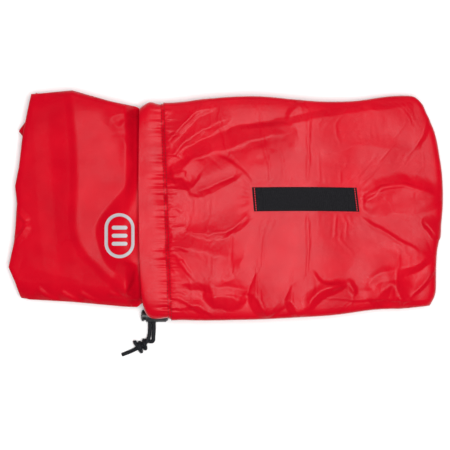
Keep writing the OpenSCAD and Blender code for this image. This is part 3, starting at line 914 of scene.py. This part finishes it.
# The top leaf's outline, its left side walked from the near corner and the other two from the left
DECK_LEFT = [(-216, -95), (-221.5, -79), (-228, -64), (-222, -37), (-220.5, -21), (-219, 3), (-221, 21),
             (-217, 40), (-213, 74), (-209.5, 91), (-204, 117.5)]
DECK_NEAR = [(-216, -95), (-207, -98), (-160, -100.5), (-110, -105), (-93, -106), (-88, -102),
             (-83, -98), (-60, -97.5), (88, -97.5)]
DECK_FAR = [(-204, 117.5), (-188, 118.5), (-161, 120), (-121, 109.5), (-93, 103), (-88, 99),
            (-83, 94), (-60, 92.5), (88, 92.5)]
# Where the top turns down to the folded end, and where it turns down to the mouth
DECK_RIDGE = [(-160, 130), (-154.5, 71), (-153, 25), (-154, -21), (-146, -45), (-131, -60), (-119, -72),
              (-90, -92)]
DECK_BROW = [(-90, 52), (-95.5, 46), (-106, 21.5), (-120, 4.6), (-129, -6), (-136, -18), (-137, -29),
             (-132, -49), (-125, -63), (-108, -76), (-84, -88)]
DECK_TOP = 42.0
RIDGE_FALL, RIDGE_SOFT = 0.23, 6       # the slope past the ridge, and how softly it starts
RIDGE_STEP, RIDGE_STEP_WIDTH = 1.6, 11
BROW_FALL, BROW_SOFT = 0.6, 2.5
NEAR_FALL, FAR_FALL, SIDE_WIDTH = 6.0, 5.0, 20
DECK_DIP = 15.0                        # how far the top falls between the brow and the mouth
DECK_FLOOR = 0.5
# Small folds: the line, the height, and how far it falls off left and right of the line
DECK_FOLDS = [
    ([(-223, -38), (-214, -29), (-208, -19)], 2.0, 3, 6),
    ([(-221, -4), (-214, -11), (-208, -18)], 1.8, 6, 3),
    ([(-95, -60), (-98, -76), (-107, -94)], 4.2, 3.5, 17),
    ([(-91, -60), (-93, -30), (-91, 20)], -1.2, 4, 6),
    ([(-92, -88), (-106, -94), (-124, -91)], 1.4, 4, 5),
    ([(-198, -86), (-186, -96), (-174, -101)], 1.5, 4, 7),
    ([(-174, -89), (-160, -98), (-148, -103)], 1.7, 4, 7),
    ([(-154, -90), (-143, -97), (-130, -103)], 1.3, 4, 6),
    ([(-186, 106), (-182, 30), (-174, -72)], -0.9, 16, 16),
    ([(-206, 84), (-170, 92), (-150, 88)], 0.6, 12, 12),
    ([(-214, -60), (-180, -72), (-150, -78)], 0.8, 14, 14),
]
# Facets, as in SACK_FOLDS
DECK_FACETS = [
    ([(-124, 84), (-116, 94), (-99, 98)], -5, 12, 0.30),
    ([(-119, 90), (-112, 82), (-101, 91)], 5, 9, 0.26),
    ([(-113, 77), (-105, 66), (-97, 57)], 5, 14, 0.20),
    ([(-92, 78), (-98, 70), (-98, 50), (-94, 30)], 5, 14, 0.30),
]
# The clear opening inside the sack's mouth: middle, half width, middle height, half height
MOUTH = (-2.5, 96.5, 20.4, 12.8)
MOUTH_POWER = 2.6
LEAF_LEVELS = [0.0, 0.21, 0.42, 0.66, 0.84, 1.0]          # shares of the stack's height between its leaves
LEAF_LENGTH, LEAF_WIDTH = 304.0, 212.0
LEAF_GAP = 0.12
RIM_ROWS = 8                           # a leaf's rows of points round each rounded edge
FLAP = [(-212, -94), (-219, -76), (-224, -60), (-218, -20), (-216, 20), (-213, 60), (-212.5, 72), (-218, 79),
        (-209, 91), (-203, 115)]


def hinge(distance, soft):
    """0 before a fold line, and growing with distance after it, with a soft bend between."""
    return np.sqrt(distance ** 2 + soft ** 2) - soft


def beyond(x, y, line, steps, way):
    """Distance past a line, on its left (way 1) or its right (way -1)."""
    d, side, _ = polyline_distance(x, y, smooth_curve(line, steps).tolist())
    return np.where(side * way > 0, d, 0)


def outline_y(line, x):
    line_x, line_y = zip(*line)
    return np.interp(x, line_x, line_y)


def deck_top(x, y):
    """The height of the skirt's upper face outside the mouth."""
    past_ridge = beyond(x, y, DECK_RIDGE, 30, -1)
    past_brow = beyond(x, y, DECK_BROW, 40, 1)
    z = DECK_TOP - RIDGE_FALL * hinge(past_ridge, RIDGE_SOFT)
    z = z - RIDGE_STEP * smooth_step(past_ridge / RIDGE_STEP_WIDTH)
    z = z - DECK_DIP * np.tanh(BROW_FALL * hinge(past_brow, BROW_SOFT) / DECK_DIP)
    from_near, from_far = y - outline_y(DECK_NEAR, x), outline_y(DECK_FAR, x) - y
    z = z - NEAR_FALL * (1 - np.clip(from_near / SIDE_WIDTH, 0, 1)) ** 2
    z = z - FAR_FALL * (1 - np.clip(from_far / SIDE_WIDTH, 0, 1)) ** 2
    z = z + sum(crease(x, y, *fold) for fold in DECK_FOLDS)
    z = z + sum(facet(x, y, *fold) for fold in DECK_FACETS)
    return z + 1.3 * (value_noise(x, y, 38, 21) - 0.5) + 0.4 * (value_noise(x * 0.7, y, 13, 22) - 0.5)


def in_mouth(x, y, way):
    """The upper (way 1) or lower (way -1) face of the stack where the sack holds it."""
    mid_y, half_y, mid_z, half_z = MOUTH
    across = np.clip(np.abs((y - mid_y) / half_y), 0, 1)
    over = (1 - across ** MOUTH_POWER) ** (1 / MOUTH_POWER)
    ripple = 0.5 * (value_noise(x, y, 17, 23) - 0.5)
    return mid_z + way * (half_z * over - 0.3) + ripple


def level_height(x, y, level):
    """The height of a boundary between two leaves of the stack."""
    inside = smooth_step((x + 106) / 17)
    low = lerp(DECK_FLOOR + 0 * x, in_mouth(x, y, -1), inside)
    high = lerp(deck_top(x, y), in_mouth(x, y, 1), inside)
    share = LEAF_LEVELS[level]
    if 0 < level < len(LEAF_LEVELS) - 1:
        share = share + 0.07 * (value_noise(x + 31 * level, y, 31, 30 + level) - 0.5)
    return lerp(low, high, share)


def graded(count, length, rim):
    """Places from 0 to 1 along a length, close together within rim of both ends."""
    edge = rim * (1 - np.cos(np.linspace(0, math.pi / 2, RIM_ROWS, endpoint=False))) / length
    inner = np.linspace(rim / length, 1 - rim / length, count - 2 * RIM_ROWS)
    return np.concatenate([edge, inner, 1 - edge[::-1]])


def closed_leaf(lines, level, rows, cols, rim):
    """One leaf of folded cloth: a closed form between two levels of the stack, round at its edges."""
    ss, tt = np.meshgrid(graded(rows, LEAF_LENGTH, rim), graded(cols, LEAF_WIDTH, rim), indexing="ij")
    x, y = coons(lines, ss, tt, straight_curve)
    full = np.ones_like(x)
    for d in (ss * LEAF_LENGTH, (1 - ss) * LEAF_LENGTH, tt * LEAF_WIDTH, (1 - tt) * LEAF_WIDTH):
        full = full * np.sqrt(1 - (1 - np.clip(d / rim, 0, 1)) ** 2)
    low, high = level_height(x, y, level) + LEAF_GAP, level_height(x, y, level + 1) - LEAF_GAP
    mid, half = (low + high) / 2, np.maximum(high - low, 0.3) / 2 * full
    top, under = np.stack([x, y, mid + half], -1), np.stack([x, y, mid - half], -1)
    return np.concatenate([top, under[:, -2:0:-1]], axis=1)


def shifted(line, dx, dy, seed, wobble=1.6):
    """A copy of an outline, moved and made a little uneven; its places inside the sack only move in Y."""
    local = np.random.default_rng(seed)
    out = []
    for x, y in line:
        loose = x < -100
        out.append((x + (dx + local.uniform(-wobble, wobble) if loose else 0),
                    y + dy + (local.uniform(-wobble, wobble) if loose else 0)))
    return out


def leaf_lines(left, near, far):
    """The four outlines of a leaf, meeting at its corners."""
    near = [left[0]] + near[1:]
    far = [left[-1]] + far[1:]
    return left, [near[-1], far[-1]], near, far


def add_skirt():
    outlines = [                       # left, near and far side of each leaf, from the lowest up
        (shifted(DECK_LEFT, 6, 1, 1), shifted(DECK_NEAR, 0, 3, 5), shifted(DECK_FAR, 0, -5, 9)),
        (shifted(DECK_LEFT, 1, -1, 2), shifted(DECK_NEAR, 0, 0.5, 6), shifted(DECK_FAR, 0, -1, 10)),
        (FLAP, shifted(DECK_NEAR, 0, 4, 7), shifted(DECK_FAR, 0, 1.2, 11, 0.5)),
        (shifted(DECK_LEFT, 4, 0, 4), shifted(DECK_NEAR, 0, 1.5, 8), shifted(DECK_FAR, 0, -2, 12)),
        (DECK_LEFT, DECK_NEAR, DECK_FAR),
    ]
    leaves = []
    for level, lines in enumerate(outlines):
        rows, cols, rim = (250, 200, 6.0) if level == len(outlines) - 1 else (130, 110, 4.5)
        leaves.append(closed_leaf(leaf_lines(*lines), level, rows, cols, rim))
    piece = mesh_piece("deck_cloth", *join_grids(leaves), NYLON_SKIRT)
    weld(piece)
    place_piece(piece, "skirt", "coated_nylon", "deck")


MARK_AT = (-111.0, -31.0)
RING_RADIUS, RING_STRAIGHT, RING_WIDTH = 15.5, 8.0, 3.4
BAR_HALF_LENGTH, BAR_HALF_WIDTH, BAR_PITCH = 8.2, 2.1, 8.4
BAR_STRAIGHT = 0.72                    # the share of a bar's half length before its end rounds off
INK_OVER, INK_UNDER = 0.22, -0.25      # the ink's two faces, from the skirt's surface


def film(x, y):
    """A closed film of ink over a grid of places on the skirt's top leaf."""
    surface = level_height(x, y, len(LEAF_LEVELS) - 1) - LEAF_GAP
    top, under = (np.stack([x, y, surface + lift], -1) for lift in (INK_OVER, INK_UNDER))
    return np.concatenate([top, under[:, ::-1]], axis=1)


def add_mark():
    """A plain generic mark: three bars in a stadium-shaped ring."""
    cx, cy = MARK_AT
    turn, inset = np.meshgrid(np.linspace(0, 2 * math.pi, 160), np.linspace(0, RING_WIDTH, 6), indexing="ij")
    r = RING_RADIUS - inset
    half = np.sign(np.round(np.sin(turn), 6))
    films = [film(cx + r * np.cos(turn), cy + r * np.sin(turn) + RING_STRAIGHT * half)]
    along, across = np.meshgrid(np.linspace(-1, 1, 40), np.linspace(-1, 1, 8), indexing="ij")
    gone = np.clip((np.abs(along) - BAR_STRAIGHT) / (1 - BAR_STRAIGHT), 0, 1)
    narrow = np.sqrt(np.clip(1 - gone ** 2, 0.001, 1))
    for k in (-1, 0, 1):
        bar_y = cy + BAR_PITCH * k + BAR_HALF_WIDTH * across * narrow
        films.append(film(cx + BAR_HALF_LENGTH * along, bar_y))
    piece = mesh_piece("mark_print", *join_grids(films), INK)
    tidy_mesh(piece)
    place_piece(piece, "skirt", "silver_ink", "printed_mark")


add_skirt()
add_mark()


# ---------- strap, threads, seams and the cord in the channel ----------

STRAP = (27.3, 136.5, -5.6, 19.4)      # ends at the far edge, and the near and far edges
STRAP_SLANT = (0.085, 0.120)           # how far the two ends lean, along X for each mm of Y
RIB, WARP_THREADS = 2.1, 17
STRAP_THICK = 2.3
STRAP_COLS = 52
END_ROUND, EDGE_ROUND = 1.0, 0.9
SEWN_AT = 2.3                          # the strap's stitching, from its ends
TURNED_UNDER = 11


def strap_place(u, v):
    """u runs from end to end and v from the near to the far edge, both from 0 to 1."""
    x0, x1, y0, y1 = STRAP
    y = y0 + (y1 - y0) * v
    x = lerp(x0 + (y1 - y) * STRAP_SLANT[0], x1 + (y1 - y) * STRAP_SLANT[1], u)
    return x, y + 0.5 * np.sin(math.pi * u) - 0.3 * u


def webbing_ribs(length, v):
    """The relief of ribs across the webbing, with the warp threads crossing them."""
    rib = np.abs(np.sin(math.pi * (length / RIB + 0.25 * np.sin(v * 9.0))))
    warp = np.abs(np.sin(math.pi * v * WARP_THREADS))
    return 0.42 * rib ** 0.8 * (0.72 + 0.28 * warp)


def rounded_edge(distance, radius):
    """From 0 at an edge to 1 at its radius from it, as on a quarter circle."""
    return np.sqrt(1 - (1 - np.clip(distance / radius, 0, 1)) ** 2)


def add_strap():
    length, width = STRAP[1] - STRAP[0], STRAP[3] - STRAP[2]
    v = np.concatenate([np.linspace(0, 1, STRAP_COLS), np.linspace(1, 0, STRAP_COLS // 2)])
    upper = np.concatenate([np.ones(STRAP_COLS), np.zeros(STRAP_COLS // 2)])
    uu, vv = np.meshgrid(np.linspace(0, 1, 420), v, indexing="ij")
    x, y = strap_place(uu, vv)
    end = np.minimum(uu, 1 - uu) * length
    side = rounded_edge(np.minimum(vv, 1 - vv) * width, EDGE_ROUND)
    held = 0.75 * bell(end - SEWN_AT, 0.9)                            # the stitching pulls it in
    turned = 0.7 * np.clip((TURNED_UNDER - end) / 2, 0, 1)            # thicker over the turned-under ends
    base = strap_under(x) + 0.1
    rise = (STRAP_THICK + turned - held + webbing_ribs(uu * length, vv)) * rounded_edge(end, END_ROUND)
    z = np.where(upper[None] > 0, base + rise * (0.35 + 0.65 * side), base)
    piece = mesh_piece("strap_webbing", np.stack([x, y, z], -1).reshape(-1, 3), grid_faces(*z.shape), WEBBING)
    tidy_mesh(piece)
    place_piece(piece, "sack", "webbing", "strap")


STITCH_SIDES, STITCH_RINGS = 8, 7


def stitch(start, end, up, radius):
    """A short stitch of thread, its ends dipping into the cloth."""
    start, end, up = (np.asarray(p, float) for p in (start, end, up))
    way = end - start
    side = np.cross(way, up)
    side /= np.linalg.norm(side)
    t = np.linspace(0, 1, STITCH_RINGS)
    swell = np.sin(math.pi * np.clip(t, 0.06, 0.94)) ** 0.5
    centre = start + way * t[:, None] + up * ((swell - 0.75) * radius)[:, None]
    angle = round_angles(STITCH_SIDES)
    ring = np.cos(angle)[None, :, None] * side + np.sin(angle)[None, :, None] * up
    return centre[:, None] + ring * (radius * swell)[:, None, None]


def add_stitches(name, ends, radius, material, node):
    """A piece of stitches, each given as its start, end and upward direction."""
    grids = [stitch(*one, radius) for one in ends]
    piece = mesh_piece(name, *join_grids(grids, tube_faces), material)
    tidy_mesh(piece)
    place_piece(piece, "sack", "thread", node)


def surface_line(grid, normal, x_of_y):
    """Points and normals where the sack's surface crosses a line that is given as x for each y."""
    points, ups = [], []
    rows = grid.shape[0] // 3
    for column, normals in zip(np.swapaxes(grid, 0, 1), np.swapaxes(normal, 0, 1)):
        gap = column[:rows, 0] - x_of_y(column[:rows, 1])
        k = int(np.argmax(gap > 0))
        if k > 0:
            f = -gap[k - 1] / (gap[k] - gap[k - 1])
            points.append(lerp(column[k - 1], column[k], f))
            ups.append(lerp(normals[k - 1], normals[k], f))
    return np.array(points), np.array(ups)


CHANNEL_PITCH, CHANNEL_DASH = 3.3, 2.3
THREAD_LIFT = 0.12


def add_channel_thread(grid):
    """The double row of stitches behind the channel, on the top and the sides."""
    normal = normals_of(grid)
    ends = []
    for offset in (-1.5, 1.5):
        points, ups = surface_line(grid, normal, lambda y: stitch_x(y) + offset)
        above = points[:, 2] > 3
        points, ups = points[above], ups[above]
        run = run_along(points)
        at = np.arange(1.0, run[-1] - CHANNEL_DASH, CHANNEL_PITCH)
        up = at_runs(at + CHANNEL_DASH / 2, run, ups)
        up /= np.linalg.norm(up, axis=1)[:, None]
        start, end = (at_runs(s, run, points) + up * THREAD_LIFT for s in (at, at + CHANNEL_DASH))
        ends += zip(start, end, up)
    add_stitches("channel_thread", ends, 0.42, THREAD, "channel_stitching")


def add_strap_thread():
    """A row of stitches across each end of the strap."""
    inset = SEWN_AT / (STRAP[1] - STRAP[0])
    edges = np.linspace(0.02, 0.98, 11)
    ends = []
    for u in (inset, 1 - inset):
        for low, high in zip(edges[:-1], edges[1:]):
            places = (strap_place(u, v) for v in (low + 0.004, high - 0.004))
            start, end = ((float(x), float(y), float(strap_under(x)) + 3.05) for x, y in places)
            ends.append((start, end, (0, 0, 1)))
    add_stitches("strap_thread", ends, 0.55, THREAD_BRIGHT, "strap_stitching")


SEAM_ROWS = slice(40, -4)              # of the sack's surface, along its two sides
SEAM_OUTER, SEAM_INNER = 2.0, 8.0      # from the sack's surface
SEAM_HALF = 0.4
SEAM_LOW = 4.5


def add_seams(grid):
    """The seam allowance inside the sack: along the near side, round the closed end and back."""
    far_col = 2 * TOP_COLS
    near_side, far_side = grid[SEAM_ROWS, 0], grid[SEAM_ROWS, far_col]
    end = grid[SEAM_ROWS.stop, np.linspace(0, far_col, 60).astype(int)]
    path = np.concatenate([near_side[::6], end[4:-4], far_side[::-6]])
    path[:, 2] = np.maximum(path[:, 2], SEAM_LOW)
    tangent = np.gradient(path, axis=0)
    inward = np.stack([-tangent[:, 1], tangent[:, 0], 0 * tangent[:, 0]], -1)
    inward /= np.linalg.norm(inward, axis=1)[:, None]
    ring = np.stack([path + inward * depth + [0, 0, way * SEAM_HALF] for depth, way in (
        (SEAM_OUTER, -1), (SEAM_OUTER, 1), (SEAM_INNER, 1), (SEAM_INNER, -1))], 1)
    piece = mesh_piece("seam_allowance", ring.reshape(-1, 3), grid_faces(len(path), 4), NYLON)
    tidy_mesh(piece)
    place_piece(piece, "sack", "coated_nylon", "side_seam_far", "side_seam_near", "end_seam")


CHANNEL_CORD_X, CHANNEL_CORD_DEPTH = -77.9, 2.9
CHANNEL_CORD_SLACK = 0.1


def add_channel_cord(grid):
    """The drawcord in its channel, between the outer and the inner ply."""
    points, ups = surface_line(grid, normals_of(grid), lambda y: CHANNEL_CORD_X + 0 * y)
    path = points - ups / np.linalg.norm(ups, axis=1)[:, None] * CHANNEL_CORD_DEPTH
    for _ in range(20):
        path = 0.5 * path + 0.25 * (np.roll(path, 1, 0) + np.roll(path, -1, 0))
    path = path[::4]
    tangent = np.roll(path, -1, 0) - np.roll(path, 1, 0)
    tangent /= np.linalg.norm(tangent, axis=1)[:, None]
    side = np.cross(tangent, [1.0, 0, 0])
    side /= np.linalg.norm(side, axis=1)[:, None]
    verts = tube(path, side, np.cross(tangent, side), CORD_D / 2 - CHANNEL_CORD_SLACK, LOOP_SIDES)
    closed = np.concatenate([verts, verts[:1]])
    piece = mesh_piece("channel_cord", closed.reshape(-1, 3), grid_faces(len(closed), LOOP_SIDES), CORD)
    weld(piece)
    place_piece(piece, "sack", "cord", "drawcord_loop")


add_strap()
add_strap_thread()
add_channel_thread(sack_surface)
add_seams(sack_surface)
add_channel_cord(sack_surface)


# ---------- the cord locks' springs, and the CAD nodes that stay ----------

WIRE_SIDES = 10
CLOSED_TURNS = 1.0                     # at each end of a spring, turns that touch each other
SPRING_TURNS = 6
TURN_STEPS = 36
SPRING_PLAY = 0.06                     # between a spring and what it presses on


def add_spring(node, body, axis, wire):
    """A cord lock's spring, which shortens as the button goes in; here a coil at rest that replaces its rigid
    CAD node.
    """
    low, high = (np.array(corner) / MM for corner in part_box(node))
    low[axis] += SPRING_PLAY
    high[axis] -= SPRING_PLAY
    length = high[axis] - low[axis]
    first, second = (k for k in range(3) if k != axis)
    radius = (high[second] - low[second] - wire) / 2
    turn = np.linspace(0, SPRING_TURNS, SPRING_TURNS * TURN_STEPS + 1)
    path = np.empty((len(turn), 3))
    path[:, axis] = low[axis] + np.interp(
        turn, [0, CLOSED_TURNS, SPRING_TURNS - CLOSED_TURNS, SPRING_TURNS],
        [wire / 2, 1.5 * wire, length - 1.5 * wire, length - wire / 2])
    centre = (low + high) / 2
    path[:, first] = centre[first] + radius * np.cos(2 * math.pi * turn)
    path[:, second] = centre[second] + radius * np.sin(2 * math.pi * turn)
    verts = tube(path, *frames_along(path), wire / 2, WIRE_SIDES).reshape(-1, 3)
    piece = mesh_piece(node + "_coil", verts, tube_faces(len(path), WIRE_SIDES), STEEL)
    place_piece(piece, body, "spring_steel", node)
    anchor = centre.copy()
    anchor[axis] = high[axis]
    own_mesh(piece)


add_spring("lock_spring", "cord_lock", axis=0, wire=0.8)
add_spring("waist_lock_spring", "waist_lock", axis=1, wire=0.5)


def dress_cad_nodes():
    looks = {
        "coated_nylon": NYLON_SKIRT, "thread": THREAD, "webbing": WEBBING, "cord": CORD, "shock_cord": CORD,
        "lock_plastic": BARREL, "spring_steel": STEEL, "silver_ink": INK,
    }
    slots = {row["node"]: row["material_slot"] for row in frame["record"]["subparts"]}
    for name, slot in slots.items():
        obj = frame["nodes"][name]
        look = BUTTON if "plunger" in name else looks[slot]
        if obj.material_slots:
            obj.material_slots[0].material = look
        else:
            obj.data.materials.append(look)


dress_cad_nodes()


# ---------- studio ----------

FLOOR_HALF = 6
SKY = 0.11
LIGHT_SIZE = 1.6
LIGHTS = {"overhead": ((0.22, -0.16, 3.4), 140), "far_fill": ((-0.2, 2.4, 2.2), 15)}       # place and watts


def add_stage():
    mesh = bpy.data.meshes.new("floor")
    corners = [(-1, -1), (1, -1), (1, 1), (-1, 1)]
    mesh.from_pydata([(FLOOR_HALF * x, FLOOR_HALF * y, 0) for x, y in corners], [], [(0, 1, 2, 3)])
    mesh.materials.append(floor_material())
    floor = bpy.data.objects.new("floor", mesh)
    bpy.context.scene.collection.objects.link(floor)


def add_light(name, place, watts):
    """A soft square light, aimed at the object."""
    data = bpy.data.lights.new(name, "AREA")
    data.shape = "SQUARE"
    data.size = LIGHT_SIZE
    data.energy = watts
    light = bpy.data.objects.new(name, data)
    light.location = place
    light.rotation_euler = (-Vector(place)).to_track_quat("-Z", "Y").to_euler()
    bpy.context.scene.collection.objects.link(light)


def add_studio():
    add_stage()
    world = bpy.data.worlds.new("studio")
    world.use_nodes = True
    background = world.node_tree.nodes["Background"]
    background.inputs["Color"].default_value = (1, 1, 1, 1)
    background.inputs["Strength"].default_value = SKY
    bpy.context.scene.world = world
    for name, (place, watts) in LIGHTS.items():
        add_light(name, place, watts)
    bpy.context.scene.view_settings.view_transform = "Standard"


add_studio()
